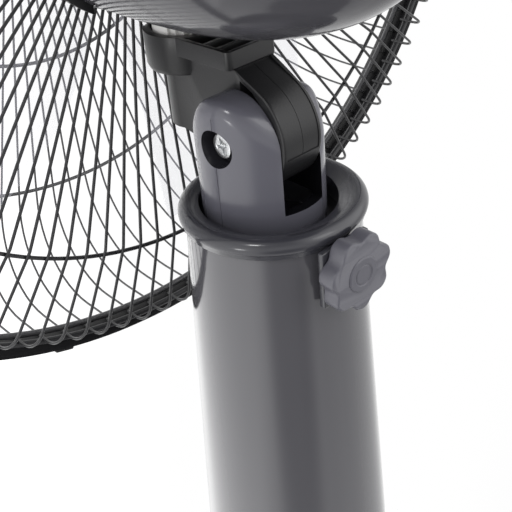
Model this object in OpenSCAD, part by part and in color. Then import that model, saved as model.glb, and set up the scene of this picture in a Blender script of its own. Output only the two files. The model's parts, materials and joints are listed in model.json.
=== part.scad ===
// Pedestal fan: weighted round base, tapered column, sliding pole with clamp knob,
// forked neck, tilting bracket, swinging motor head, wire guard and clear blade.
// Millimetres, +Z up, the fan blows towards -Y, the origin is the middle of the base underneath.

/* [Stand] */
// Diameter of the round base
base_d = 400; // [380:5:440]
// Height of the straight rim of the base
base_rim = 22; // [20:1:26]
// Height of the collar's lower edge above the floor
column_h = 640; // [560:10:720]
// Diameter of the column just under the collar
column_d = 73; // [72.5:0.5:76]
// Growth of the column's radius per millimetre downwards
column_taper = 0.047; // [0.03:0.001:0.05]
// Wall of the column shell
column_wall = 2.5; // [2:0.1:2.7]

/* [Pole and clamp] */
// Diameter of the sliding pole and of the neck above it
pole_d = 51.7; // [50:0.1:52]
// Length of the sliding pole
pole_len = 380; // [340:10:420]
// Diameter of the clamp knob over its lobes
knob_d = 33.6; // [30:0.2:38]
// Thickness of the clamp knob
knob_t = 8; // [6:0.5:9]
// Number of lobes on the clamp knob
knob_lobes = 7; // [5:1:9]

/* [Neck and bracket] */
// Height of the tilt pivot above the collar's lower edge
pivot_h = 37.4; // [36:0.2:38]
// Distance of the tilt axis behind the pole's axis
pivot_back = 3; // [0:0.5:4]
// Radius of the ear that holds the pivot screw's head
ear_r = 18.9; // [17:0.1:20]
// Radius of the ear that holds the pivot nut
nut_ear_r = 14.5; // [13:0.5:19]
// Width of the tongue between the two ears of the neck
tongue_w = 20; // [18:0.5:21]
// Radius of the tongue round the tilt pivot
tongue_r = 22.5; // [20:0.5:23.5]
// Distance of the swing axis in front of the column's axis
swing_y = 45; // [44.5:0.1:46]
// Radius of the boss round the swing axis
boss_r = 17.5; // [16.5:0.5:18]

/* [Motor head] */
// Height of the fan's axis above the collar's lower edge
axis_h = 136.5; // [136.5:0.5:142]
// Largest diameter of the motor cover
cover_d = 123; // [120:0.5:123]
// Reach of the motor cover behind the column's axis
cover_rear = 80; // [72:1:90]
// Diameter of the stator
stator_d = 84; // [76:1:86]
// Diameter of the motor shaft
shaft_d = 8; // [7:0.5:9]

/* [Guard] */
// Diameter of the guard over its rim band
guard_d = 452; // [444:2:470]
// Number of wires in each half of the guard
wire_count = 108; // [90:6:120]
// Diameter of a rear guard wire
rear_wire_d = 1.4; // [1.2:0.1:1.8]
// Diameter of a front guard wire
front_wire_d = 1.1; // [1:0.1:1.6]
// Distance of the rim band in front of the column's axis
rim_y = 80.5; // [79:0.5:84]
// Distance of the front guard's hub in front of the column's axis
front_y = 160; // [158:1:170]

/* [Blade] */
// Diameter of the blade over its tips
blade_d = 390; // [370:5:400]
// Number of leaves
blade_count = 5; // [3:1:6]
// Thickness of a leaf
leaf_t = 2.2; // [1.8:0.1:2.8]

/* [Controls] */
// Width of one key
key_w = 20; // [17:0.5:22]
// Travel of a key
key_travel = 3; // [2:0.5:3]
// Diameter of the timer knob
timer_d = 30; // [24:1:34]

/* [Hidden] */
$fn = 96;
e = 0.01;
base_r = base_d / 2;
col_r = column_d / 2;
pole_r = pole_d / 2;
zc = column_h;
// The clamp presses the pole against the front of its guide, so the pole's axis lies ahead of the column's.
pole_y = -5;
// The collar's hole clears the pole in front, and leaves a wider gap behind it.
hole_r = pole_r + 3.15;
hole_y = pole_y + hole_r - pole_r - 0.65;
piv = [0, pole_y + pivot_back, zc + pivot_h];
za = zc + axis_h;
knob_z = zc - 10;
cov_r = cover_d / 2;
rim_r = guard_d / 2;
swing_x = -swing_y;

function col_at(z) = col_r + column_taper * (zc - z);
function col_in(z) = col_at(z) - column_wall;

// Local Z runs forward along the fan's axis.
module at_axis() {
  translate([0, 0, za])
    rotate([90, 0, 0])
      children();
}

// Local Z runs to +X through the tilt pivot.
module at_pivot() {
  translate(piv)
    rotate([90, 0, 90])
      children();
}

module tube(ro, ri, h) {
  difference() {
    cylinder(r = ro, h = h);
    translate([0, 0, -1])
      cylinder(r = ri, h = h + 2);
  }
}

// Pan-head screw, head underneath at z = 0, shank upwards.
module pan_screw(head_r, head_h, r, len) {
  difference() {
    union() {
      translate([0, 0, -head_h])
        cylinder(r = head_r, h = head_h);
      cylinder(r = r, h = len);
    }
    translate([-head_r * 0.6, -head_r * 0.11, -head_h - 1])
      cube([head_r * 1.2, head_r * 0.22, 1 + head_h * 0.5]);
    translate([-head_r * 0.11, -head_r * 0.6, -head_h - 1])
      cube([head_r * 0.22, head_r * 1.2, 1 + head_h * 0.5]);
  }
}

// Base

foot_r = base_r - 32;
lug_r = base_r - 12;
plate_z = 3;
plate_t = 2;
floor_z = plate_z + plate_t;
hub_r = col_at(10) + 0.5;
dome_z = base_rim + 13;
pod_x = 74;
pod_y0 = base_r - 22;
pod_y1 = base_r - 110;
pod_z = base_rim + 24;
gland_z = 10.4;
gland_r = 4.2;

module base_outer(d) {
  rotate_extrude()
    polygon([
      [0, floor_z - 1], [base_r - d, floor_z - 1], [base_r - d, base_rim - 6 - d * 0.3],
      [base_r - 2 - d, base_rim - 2 - d * 0.7], [base_r - 7 - d, base_rim - d],
      [base_r * 0.7, base_rim + 6 - d], [hub_r + 14, dome_z - d], [0, dome_z - d]
    ]);
}

module pod_solid(d) {
  translate([0, 0, floor_z - 1])
    linear_extrude(pod_z - floor_z + 1 - d)
      polygon([
        [-pod_x + d, -pod_y1 - d], [pod_x - d, -pod_y1 - d], [pod_x - d, -pod_y0 + 14],
        [pod_x - 14, -pod_y0 + d], [-pod_x + 14, -pod_y0 + d], [-pod_x + d, -pod_y0 + 14]
      ]);
}

module base_cover() {
  color([0.33, 0.33, 0.36])
  difference() {
    union() {
      base_outer(0);
      pod_solid(0);
    }
    difference() {
      union() {
        translate([0, 0, -2])
          base_outer(3);
        translate([0, 0, -1])
          pod_solid(3);
      }
      for (i = [0:4])
        rotate(i * 72 + 54)
          translate([lug_r, 0, floor_z])
            cylinder(r = 5, h = base_rim);
    }
    translate([0, 0, -1])
      cylinder(r = base_r + 1, h = floor_z + 1);
    translate([0, 0, floor_z])
      cylinder(r = hub_r, h = dome_z);
    for (i = [0:4])
      rotate(i * 72 + 54)
        translate([lug_r, 0, 0])
          cylinder(r = 1.95, h = 17);
    translate([-pod_x + 4, -pod_y0 + 6, pod_z - 4])
      cube([2 * pod_x - 8, pod_y0 - pod_y1 - 12, 8]);
    translate([0, base_r + 4, gland_z])
      rotate([90, 0, 0])
        cylinder(r = gland_r, h = 12);
  }
}

module base_weight() {
  color([0.25, 0.25, 0.26])
  difference() {
    translate([0, 0, floor_z])
      cylinder(r = base_r - 22, h = 8);
    cylinder(r = hub_r + 14, h = 40);
    for (i = [0:3])
      rotate(i * 90 + 45)
        translate([base_r * 0.62, 0, 0])
          cylinder(r = 9, h = 40);
  }
}

module base_plate() {
  color([0.2, 0.2, 0.21])
  difference() {
    translate([0, 0, plate_z])
      cylinder(r = base_r - 5, h = plate_t);
    cylinder(r = 12, h = 20);
    for (i = [0:4])
      rotate(i * 72 + 54)
        translate([lug_r, 0, 0])
          cylinder(r = 2.2, h = 20);
    for (i = [0:3])
      rotate(i * 90)
        translate([hub_r - 10, 0, 0])
          cylinder(r = 2.7, h = 20);
    for (i = [0:4])
      rotate(i * 72 + 18)
        translate([foot_r, 0, 0])
          cylinder(r = 4.2, h = 20);
  }
}

module base_feet() {
  color([0.06, 0.06, 0.06])
  for (i = [0:4])
    rotate(i * 72 + 18)
      translate([foot_r, 0, 0]) {
        cylinder(r = 11, h = plate_z);
        cylinder(r = 4.15, h = floor_z);
      }
}

module base_screws() {
  color([0.7, 0.7, 0.68])
  for (i = [0:4])
    rotate(i * 72 + 54)
      translate([lug_r, 0, plate_z])
        pan_screw(3.6, 2, 1.9, 13);
}

module column_flange() {
  color([0.55, 0.55, 0.56])
  difference() {
    union() {
      translate([0, 0, floor_z])
        cylinder(r = hub_r + 8, h = 4);
      translate([0, pole_y, floor_z])
        cylinder(r = pole_r + 6, h = 46);
    }
    translate([0, pole_y, floor_z + 4])
      cylinder(r = pole_r + 1.9, h = 60);
    cylinder(r = 10, h = 60);
    for (i = [0:3])
      rotate(i * 90)
        translate([hub_r - 10, 0, 0])
          cylinder(r = 2.5, h = 20);
  }
}

module flange_screws() {
  color([0.7, 0.7, 0.68])
  for (i = [0:3])
    rotate(i * 90)
      translate([hub_r - 10, 0, plate_z])
        pan_screw(4.5, 2.2, 2.45, 5.8);
}

module guide_tube() {
  color([0.6, 0.6, 0.6])
  translate([0, pole_y, floor_z + 4])
    tube(pole_r + 1.85, pole_r + 0.65, zc - 35 - floor_z - 4);
}

// Column and collar

module column() {
  z0 = floor_z + 4;
  z1 = zc + 4;
  color([0.36, 0.36, 0.39])
  difference() {
    rotate_extrude()
      polygon([
        [col_in(z0), z0], [col_at(z0), z0], [col_at(zc), zc], [col_r, z1],
        [col_r - column_wall, z1], [col_in(zc), zc]
      ]);
    translate([0, 0, knob_z])
      rotate([-90, 0, 0])
        cylinder(r = 3.6, h = col_r + 20);
  }
}

module collar() {
  color([0.27, 0.27, 0.3])
  difference() {
    union() {
      translate([0, 0, zc])
        rotate_extrude()
          polygon([
            [col_r + 0.25, 0], [col_r + 1.8, 0], [col_r + 2.7, 2.4], [col_r + 2.8, 4.6],
            [col_r + 1.9, 6.8], [col_r, 8.2], [col_r - 2, 8.4], [col_r - 4.2, 7.6],
            [hole_r - 3.5, 4.2], [hole_r - 3.5, -4], [col_r - column_wall - 0.2, -4],
            [col_r - column_wall - 0.2, 4.2], [col_r + 0.25, 4.2]
          ]);
      translate([-13, col_r + 1.5, zc - 24])
        cube([26, 3, 25.5]);
      translate([-13, col_r + 1, zc])
        cube([26, 3.5, 1.5]);
    }
    translate([0, hole_y, zc - 10])
      cylinder(r = hole_r, h = 30);
    translate([0, 0, knob_z])
      rotate([-90, 0, 0])
        cylinder(r = 3.6, h = col_r + 20);
  }
}

module collar_bush() {
  h = 30;
  color([0.07, 0.07, 0.075])
  difference() {
    translate([0, 0, zc - 4.2 - h])
      cylinder(r = col_r - column_wall - 0.1, h = h);
    translate([0, pole_y, zc - 60])
      cylinder(r = pole_r + 0.06, h = 100);
    translate([0, 0, knob_z])
      rotate([-90, 0, 0])
        cylinder(r = 6.05, h = pole_r + pole_y + 7.2);
    translate([0, pole_r + pole_y + 7.2 - e, knob_z])
      rotate([-90, 0, 0])
        cylinder(r = 5.85, h = 40, $fn = 6);
  }
}

module clamp_nut() {
  color([0.75, 0.72, 0.6])
  translate([0, pole_r + pole_y + 7.25, knob_z])
    rotate([-90, 0, 0])
      difference() {
        cylinder(r = 5.8, h = 5, $fn = 6);
        translate([0, 0, -1])
          cylinder(r = 3.04, h = 8);
      }
}

knob_back = col_r + 4.9;

module clamp_knob() {
  color([0.42, 0.42, 0.45])
  translate([0, knob_back, knob_z])
    rotate([-90, 0, 0])
      difference() {
        union() {
          difference() {
            cylinder(r = knob_d / 2, h = knob_t);
            for (i = [0:knob_lobes - 1])
              rotate((i + 0.5) * 360 / knob_lobes)
                translate([knob_d * 0.63, 0, -1])
                  cylinder(r = knob_d * 0.175, h = knob_t + 2);
          }
          cylinder(r = knob_d * 0.23, h = knob_t + 0.8);
        }
        translate([0, 0, -1])
          cylinder(r = 3, h = 6);
        translate([0, 0, knob_t + 0.3])
          cylinder(r = knob_d * 0.133, h = 2);
      }
}

module clamp_screw() {
  y0 = pole_r + pole_y + 4.7;
  color([0.72, 0.72, 0.7])
  translate([0, y0, knob_z])
    rotate([-90, 0, 0])
      cylinder(r = 3, h = knob_back + 4.95 - y0);
}

module clamp_shoe() {
  color([0.85, 0.85, 0.82])
  translate([0, pole_r + pole_y + 0.1, knob_z])
    rotate([-90, 0, 0])
      cylinder(r = 6, h = 4.5);
}

// Controls on the base

key_y = pod_y0 - 34;
key_pitch = 25;
panel_z = pod_z - 4;
panel_t = 3.4;

module key_hole(i) {
  translate([(i - 2) * key_pitch - key_w / 2 - 0.4, -key_y - 8.4, panel_z - 1])
    cube([key_w + 0.8, 16.8, 8]);
}

module control_panel() {
  color([0.08, 0.08, 0.09])
  difference() {
    translate([-pod_x + 4.2, -pod_y0 + 6.2, panel_z])
      cube([2 * pod_x - 8.4, pod_y0 - pod_y1 - 12.4, panel_t]);
    for (i = [0:4])
      key_hole(i);
    translate([0, -pod_y1 - 24, panel_z - 1])
      cylinder(r = 3.4, h = 8);
  }
}

module key_switch() {
  color([0.75, 0.75, 0.72])
  translate([-2 * key_pitch - 13, -key_y - 11, panel_z - 20])
    difference() {
      cube([4 * key_pitch + 26, 22, 20]);
      translate([2, 1.5, 9.5])
        cube([4 * key_pitch + 22, 19, 12]);
    }
}

module timer_body() {
  color([0.6, 0.6, 0.58])
  translate([0, -pod_y1 - 24, panel_z - 20])
    difference() {
      translate([-16, -14, 0])
        cube([32, 27, 20]);
      translate([0, 0, 8])
        cylinder(r = 3.05, h = 20);
    }
}

module key(i) {
  translate([(i - 2) * key_pitch, -key_y, panel_z]) {
    translate([-key_w / 2, -8, -2])
      cube([key_w, 16, 7]);
    translate([-key_w / 2 - 1, -9, -5.5])
      cube([key_w + 2, 18, 4]);
  }
}

module key_off() {
  color([0.6, 0.6, 0.62])
  key(0);
}

module key_low() {
  color([0.6, 0.6, 0.62])
  key(1);
}

module key_medium() {
  color([0.6, 0.6, 0.62])
  key(2);
}

module key_high() {
  color([0.6, 0.6, 0.62])
  key(3);
}

module key_swing() {
  color([0.6, 0.6, 0.62])
  key(4);
}

module timer_knob() {
  color([0.42, 0.42, 0.45])
  translate([0, -pod_y1 - 24, panel_z + panel_t + 0.5]) {
    difference() {
      cylinder(r = timer_d / 2, h = 12);
      for (s = [-1, 1])
        translate([s * (timer_d / 2 + 1) - (s > 0 ? 9 : 0), -timer_d, 4])
          cube([9, timer_d * 2, 20]);
    }
    translate([0, 0, -14])
      cylinder(r = 3, h = 15);
  }
}

module cord_gland() {
  color([0.06, 0.06, 0.06])
  translate([0, base_r - 0.2, gland_z])
    rotate([90, 0, 0])
      difference() {
        union() {
          cylinder(r = gland_r - 0.05, h = 13);
          translate([0, 0, 10])
            cylinder(r = gland_r + 1, h = 2);
        }
        translate([0, 0, -4])
          cylinder(r = 3, h = 20);
      }
}

// Pole and neck

pole_top = zc - 8;

module pole() {
  color([0.5, 0.5, 0.52])
  translate([0, pole_y, pole_top - pole_len])
    tube(pole_r, pole_r - 1.5, pole_len);
}

module pole_foot() {
  color([0.85, 0.85, 0.82])
  translate([0, pole_y, pole_top - pole_len])
    difference() {
      union() {
        cylinder(r = pole_r - 1.55, h = 24);
        translate([0, 0, -12])
          cylinder(r = pole_r + 0.55, h = 11.95);
        translate([0, 0, -1])
          cylinder(r = pole_r - 1.55, h = 3);
      }
      translate([0, 0, -20])
        cylinder(r = 12, h = 60);
    }
}

ear_gap = 0.3;
round_r = 33;
round_z = zc + 30;

// Side view of an ear: a round top with a slope of 45 degrees on both sides.
module ear_outline(r) {
  y = piv[1];
  z = piv[2];
  t = r * cos(45);
  translate([y, z])
    circle(r = r);
  polygon([
    [y - 60, pole_top], [y + 60, pole_top], [y + 60, z + 2 * t - 60], [y + t, z + t],
    [y - t, z + t], [y - 60, z + 2 * t - 60]
  ]);
}

// Ball that rounds the outer edges of the ears.
module ear_rounding() {
  translate([0, piv[1], round_z])
    sphere(r = round_r);
  translate([0, piv[1], pole_top - 1])
    cylinder(r = round_r - 2, h = round_z - pole_top + 3);
}

module neck() {
  color([0.37, 0.37, 0.41])
  difference() {
    union() {
      intersection() {
        translate([0, pole_y, pole_top])
          cylinder(r = pole_r, h = pivot_h + pole_r + 20);
        rotate([90, 0, 90]) {
          translate([0, 0, -5])
            linear_extrude(45)
              ear_outline(ear_r);
          translate([0, 0, -40])
            linear_extrude(45)
              ear_outline(nut_ear_r);
        }
        ear_rounding();
      }
      translate([0, pole_y, pole_top - 30])
        cylinder(r = pole_r - 1.52, h = 32);
    }
    translate([-tongue_w / 2 - ear_gap, -80, zc + 9])
      cube([tongue_w + 2 * ear_gap, 160, 100]);
    translate([0, pole_y, pole_top - 40])
      cylinder(r = pole_r - 4.5, h = 40 + 17.5);
    at_pivot()
      cylinder(r = 3.05, h = 80, center = true);
    at_pivot()
      translate([0, 0, 18.5])
        cylinder(r = 7.8, h = 20);
    at_pivot()
      translate([0, 0, -38.5])
        cylinder(r = 6.5, h = 20, $fn = 6);
  }
}

module pivot_bolt() {
  color([0.82, 0.82, 0.8])
  at_pivot()
    translate([0, 0, 18.5])
      rotate([180, 0, 20])
        pan_screw(5, 3.4, 3, 18.5 + 22.5);
}

module pivot_nut() {
  color([0.75, 0.75, 0.72])
  at_pivot()
    translate([0, 0, -23.5])
      difference() {
        cylinder(r = 6.4, h = 4.95, $fn = 6);
        translate([0, 0, -1])
          cylinder(r = 3.03, h = 8);
      }
}

// Tilting bracket

boss_top = zc + 70.9;
boss_low = zc + 54;
gear_z = zc + 64;
gear_seat = 14.4;
tray_x = 12.6;
tray_y = -4.7;
tray_low = zc + 63.6;
tray_wall = 2;
tray_round = 2.5;
rib_t = 1.6;
tube_r = 10.3;
tube_low = zc + 29;

// Plan of the tray, drawn in by a distance.
module bracket_plan(d) {
  side = boss_r - 3.2 - d;
  polygon([
    [-side, swing_x], [side, swing_x], [tray_x - d, tray_y - tray_round],
    [tray_x - tray_round, tray_y - d], [tray_round - tray_x, tray_y - d], [d - tray_x, tray_y - tray_round]
  ]);
  for (s = [-1, 1])
    translate([s * (tray_x - tray_round), tray_y - tray_round])
      circle(r = tray_round - d);
}

// Room for the guard's wires while the head swings past the front of the boss.
swing_max = 30;

module guard_room() {
  for (q = [-1, 0, 1])
    translate([0, swing_x, 0])
      rotate([90, 0, 90 + q * swing_max])
        translate([0, 0, -60])
          linear_extrude(120)
            polygon([
              [swing_y - rear_at(axis_h - 40) + rw + 0.6, zc + 40],
              [swing_y - rear_at(axis_h - 90) + rw + 0.6, zc + 90],
              [-90, zc + 90], [-90, zc + 40]
            ]);
}

module bracket_block() {
  h = boss_top - boss_low;
  translate([0, swing_x, boss_low])
    rotate_extrude()
      polygon([[0, 0], [boss_r - 3, 0], [boss_r - 0.9, 1], [boss_r, 3.2], [boss_r, h], [0, h]]);
  translate([0, 0, tray_low])
    linear_extrude(boss_top - tray_low)
      bracket_plan(0);
}

// Open cells of the tray between its cross ribs.
module tray_cells() {
  difference() {
    translate([0, 0, tray_low + tray_wall])
      linear_extrude(20)
        bracket_plan(tray_wall);
    translate([0, swing_x, boss_low])
      cylinder(r = boss_r + 0.4, h = 40);
    for (y = [-20.5, -13])
      translate([-tray_x - 5, y, boss_low])
        cube([2 * tray_x + 10, rib_t, 40]);
  }
}

// Side view of the web from the boss to the tongue.
tray_span = norm([tray_y - piv[1], tray_low - piv[2]]);
web_turn = atan2(tray_low - piv[2], tray_y - piv[1]) - acos(tongue_r / tray_span);

module web_outline() {
  y = piv[1];
  z = piv[2];
  translate([y, z])
    circle(r = tongue_r);
  polygon([
    [swing_x, tube_low + 1], [y - 4, z - 14], [y, z],
    [y + tongue_r * cos(web_turn), z + tongue_r * sin(web_turn)],
    [tray_y, tray_low + 0.5], [swing_x, tray_low + 0.5]
  ]);
}

// Pocket in each side of the web.
module web_pockets() {
  for (s = [-1, 1])
    rotate([90, 0, 90])
      translate([0, 0, s > 0 ? tongue_w / 2 - 6 : -tongue_w / 2 - 1])
        linear_extrude(7)
          polygon([[-2, zc + 53.2], [8.5, zc + 53.2], [4.5, zc + 57], [-2, zc + 60]]);
}

module tilt_bracket() {
  color([0.07, 0.07, 0.075])
  difference() {
    union() {
      bracket_block();
      translate([0, swing_x, tube_low])
        cylinder(r = tube_r, h = 30);
      rotate([90, 0, 90])
        translate([0, 0, -tongue_w / 2])
          linear_extrude(tongue_w)
            web_outline();
    }
    translate([0, swing_x, tube_low + 9])
      cylinder(r = 7, h = 60);
    translate([0, swing_x, tube_low - 1])
      cylinder(r = 5.15, h = 60);
    translate([0, swing_x, tube_low - 1])
      cylinder(r = 8.3, h = 6);
    translate([0, swing_x, gear_z])
      cylinder(r = gear_seat, h = 20);
    guard_room();
    tray_cells();
    web_pockets();
    at_pivot()
      cylinder(r = 3.05, h = 80, center = true);
  }
}

module spindle_bush() {
  color([0.72, 0.55, 0.3])
  translate([0, swing_x, tube_low + 9.05])
    tube(6.98, 5.05, gear_z - tube_low - 9.1);
}

module thrust_washer() {
  color([0.92, 0.92, 0.9])
  translate([0, swing_x, gear_z])
    tube(8.1, 5.1, 1.5);
}

// Fixed nylon gear round the swing axis, and the pinion that walks round it.
gear_n = 26;
pinion_n = 10;
gear_m = 1;
gear_dist = (gear_n + pinion_n) / 2 * gear_m + 0.15;

// Teeth number first to last of a wheel of n teeth, tooth 0 on the X axis.
module toothed(n, m, h, first, last) {
  r = n * m / 2;
  linear_extrude(h)
    union() {
      circle(r = r - 1.1 * m, $fn = 72);
      for (i = [first:last])
        rotate(i * 360 / n)
          polygon([
            [r - 1.6 * m, -0.78 * m], [r - 0.2 * m, -0.58 * m], [r + 0.8 * m, -0.26 * m],
            [r + 0.8 * m, 0.26 * m], [r - 0.2 * m, 0.58 * m], [r - 1.6 * m, 0.78 * m]
          ]);
    }
}

// Plain part of the gear's rim, where the pinion never comes.
module plain_rim(r, h) {
  linear_extrude(h)
    difference() {
      circle(r = r);
      polygon([[-2, 0], [40, 79], [80, 0], [40, -79]]);
    }
}

module swing_gear() {
  color([0.92, 0.92, 0.9])
  translate([0, swing_x, gear_z])
    rotate(90)
      difference() {
        union() {
          intersection() {
            cylinder(r = gear_seat - 0.05, h = 2.5);
            rotate(-90)
              translate([-20, -12.6, -1])
                cube([40, 40, 5]);
          }
          toothed(gear_n, gear_m, 10.2, -4, 4);
          plain_rim(gear_n * gear_m / 2 + 0.5, 10.2);
        }
        translate([0, 0, -1])
          cylinder(r = 8.6, h = 20);
      }
}

module swing_pinion() {
  color([0.9, 0.88, 0.8])
  translate([0, swing_x + gear_dist, boss_top + 0.4]) {
    rotate(-90 + 180 / pinion_n)
      toothed(pinion_n, gear_m, 2.9, 0, pinion_n - 1);
    cylinder(r = 2, h = 9.1);
  }
}

module swing_motor() {
  color([0.7, 0.7, 0.68])
  translate([0, swing_x + gear_dist, zc + 79.8])
    difference() {
      cylinder(r = 11, h = 12.6);
      translate([0, 0, -1])
        cylinder(r = 2.05, h = 2);
    }
}

foot_z = zc + 79.2;

module spindle() {
  color([0.72, 0.72, 0.7])
  difference() {
    translate([0, swing_x, 0]) {
      translate([0, 0, gear_z + 1.55])
        cylinder(r = 8, h = foot_z - gear_z - 1.6);
      translate([0, 0, tube_low + 5])
        cylinder(r = 5, h = zc + 93.5 - tube_low - 5);
    }
    translate([0, swing_x, tube_low])
      cylinder(r = 2, h = 19);
  }
}

module spindle_screw() {
  color([0.72, 0.72, 0.7])
  translate([0, swing_x, tube_low + 4.9])
    pan_screw(7.6, 3.6, 1.98, 13);
}

// Motor

stator_r = stator_d / 2;
rotor_r = stator_r * 0.6;
st0 = 20;
st1 = 44;

module motor_frame() {
  color([0.66, 0.66, 0.66])
  difference() {
    union() {
      at_axis()
        rotate_extrude()
          polygon([
            [8, 51], [stator_r - 4, 51], [stator_r - 4, st1 + 0.05], [stator_r, st1 + 0.05],
            [stator_r, 55.5], [14, 55.5], [14, 60.5], [8, 60.5]
          ]);
      translate([-8, swing_x - 8, foot_z])
        cube([16, 14.8, za - stator_r - 0.6 - foot_z]);
      translate([-8, swing_x - 8, foot_z])
        cube([16, 8 + swing_y - st1 - 0.2, za - stator_r + 3 - foot_z]);
    }
    translate([0, swing_x, foot_z - 1])
      cylinder(r = 5.02, h = zc + 93.6 - foot_z + 1);
    screw_holes(2.1);
  }
}

module screw_holes(r) {
  at_axis()
    for (i = [0:3])
      rotate(i * 90 + 45)
        translate([stator_r - 2.6, 0, -20])
          cylinder(r = r, h = 100);
}

module motor_bell() {
  color([0.66, 0.66, 0.66])
  difference() {
    at_axis()
      rotate_extrude()
        polygon([
          [8, 2], [13, 2], [13, 8.5], [stator_r, 8.5], [stator_r, st0 - 0.05],
          [stator_r - 4, st0 - 0.05], [stator_r - 4, 12.5], [8, 12.5]
        ]);
    screw_holes(2.1);
  }
}

module stator() {
  color([0.5, 0.5, 0.52])
  difference() {
    at_axis()
      translate([0, 0, st0])
        tube(stator_r, rotor_r + 0.4, st1 - st0);
    screw_holes(2.1);
  }
}

module windings() {
  color([0.72, 0.38, 0.16])
  at_axis() {
    translate([0, 0, st1 + 0.05])
      tube(stator_r - 6, rotor_r + 2, 5.5);
    translate([0, 0, st0 - 5.55])
      tube(stator_r - 6, rotor_r + 2, 5.5);
  }
}

module bearings() {
  color([0.7, 0.55, 0.32])
  at_axis() {
    translate([0, 0, 51])
      tube(7.98, shaft_d / 2 + 0.04, 9);
    translate([0, 0, 2.5])
      tube(7.98, shaft_d / 2 + 0.04, 9);
  }
}

module motor_screws() {
  color([0.75, 0.75, 0.72])
  at_axis()
    for (i = [0:3])
      rotate(i * 90 + 45)
        translate([stator_r - 2.6, 0, 8.5])
          pan_screw(3.4, 2.2, 2, 46);
}

module rotor() {
  color([0.62, 0.62, 0.62])
  at_axis()
    translate([0, 0, st0])
      tube(rotor_r, shaft_d / 2 + 0.02, st1 - st0);
}

module shaft() {
  color([0.8, 0.8, 0.8])
  at_axis()
    translate([0, 0, 1])
      cylinder(r = shaft_d / 2, h = 123);
}

// Motor covers

cov_a = 56;
// The front cover's rim leaves out a stretch below, above the swing boss.
rim_gap = 34;
function cov_prof(t) = [cov_r * pow(max(1 - pow(t, 2.55), 0), 1 / 2.55), t];
cov_n = 22;
cov_t = [for (i = [0:cov_n]) sin(90 * i / cov_n)];

module cover_shell(d) {
  rotate_extrude()
    polygon(concat(
      [[0, cov_a + (d > 0 ? 1 : 0)], [cov_r - d, cov_a + (d > 0 ? 1 : 0)]],
      [for (t = cov_t) [max(cov_prof(t)[0] - d * (1 - t * 0.2), 0),
        cov_a - 7 - t * (cov_a - 7 + cover_rear - d)]]
    ));
}

module rear_cover() {
  color([0.45, 0.45, 0.48])
  difference() {
    at_axis()
      difference() {
        cover_shell(0);
        cover_shell(2.5);
      }
    translate([-10, swing_x - 20, zc + 60])
      cube([20, 46, 30]);
    at_axis()
      translate([0, 0, -cover_rear - 5]) {
        cylinder(r = 2.6, h = 30);
        cylinder(r = 5.05, h = 5.65);
      }
  }
}

module front_cover() {
  rim = cov_r + 3.1;
  color([0.08, 0.08, 0.09])
  difference() {
    at_axis()
      rotate_extrude()
        polygon([
          [35.4, cov_a + 0.2], [rim, cov_a + 0.2], [rim, cov_a + 3.4], [rim - 0.6, cov_a + 4],
          [51, cov_a + 4], [50, cov_a + 5], [50, hub_a - 1.05], [38, hub_a - 1.05], [38, cov_a + 22],
          [35.4, cov_a + 22]
        ]);
    at_axis()
      difference() {
        translate([-rim_gap, -cov_r - 10, cov_a - 1])
          cube([2 * rim_gap, cov_r + 10, 6]);
        translate([0, 0, cov_a - 2])
          cylinder(r = cov_r, h = 8);
      }
  }
}

module cover_screws() {
  color([0.75, 0.75, 0.72])
  at_axis()
    translate([0, 0, -cover_rear + 0.6])
      pan_screw(5, 2.4, 2.2, 14);
}

// Guard

rw = rear_wire_d / 2;
fw = front_wire_d / 2;
hub_a = 62.8;
plate_r = 62;
slope = 5.2;
band_t = 7.5;
band_step = 5;
wire_r = rim_r - band_t - rw - 0.05;
ring_r = 1.5;
mid_r = 0.9;
mid_at = rim_r * 0.73;
front_out = rim_r * 0.752;
front_mid = rim_r * 0.4645;
join_gap = 0.15;

// One rear wire: straight from the hub plate, round the edge, then forward into the rim band.
bend_r = 22;
rear_in_r = wire_r - bend_r * (1 + sin(slope));
rear_in = [rear_in_r, hub_a - 0.1 - (rear_in_r - plate_r) * tan(slope)];
bend_c = [wire_r - bend_r, rear_in[1] + bend_r * cos(slope)];
rear_len = (rear_in[0] - plate_r - 0.05) / cos(slope);

// Short sleeve over the joint between two stretches of a wire.
module joint(r) {
  cylinder(r = r + 0.1, h = 1, center = true, $fn = 8);
}

module rear_wire() {
  rotate([90, 0, 0]) {
    translate([bend_c[0], bend_c[1], 0])
      rotate([0, 0, 270 - slope + join_gap])
        rotate_extrude(angle = 90 + slope - 2 * join_gap)
          translate([bend_r, 0])
            circle(r = rw, $fn = 8);
    translate([rear_in[0], rear_in[1], 0])
      rotate([0, -90, -slope]) {
        translate([0, 0, join_gap])
          cylinder(r = rw, h = rear_len - join_gap, $fn = 8);
        joint(rw);
      }
    translate([wire_r, bend_c[1], 0])
      rotate([-90, 0, 0]) {
        translate([0, 0, join_gap])
          cylinder(r = rw, h = rim_y + 4 - bend_c[1] - join_gap, $fn = 8);
        joint(rw);
      }
  }
}

module rear_guard_wires() {
  color([0.05, 0.05, 0.055])
  at_axis()
    for (i = [0:wire_count - 1])
      rotate((i + 0.5) * 360 / wire_count)
        rear_wire();
}

module ring(r, a, t) {
  translate([0, 0, a])
    rotate_extrude()
      translate([r, 0])
        circle(r = t, $fn = 24);
}

function rear_at(r) = rear_in[1] + (rear_in[0] - r) * tan(slope);

module rear_guard_rings() {
  color([0.05, 0.05, 0.055])
  at_axis() {
    ring(mid_at, rear_at(mid_at) + (rw + mid_r + 0.03) / cos(slope), mid_r);
    ring(wire_r - rw - ring_r - 0.05, rim_y + 1, ring_r);
    difference() {
      translate([0, 0, hub_a - 1])
        cylinder(r = plate_r, h = 2.4);
      translate([0, 0, hub_a - 2])
        cylinder(r = 38.2, h = 6);
    }
  }
}

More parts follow.
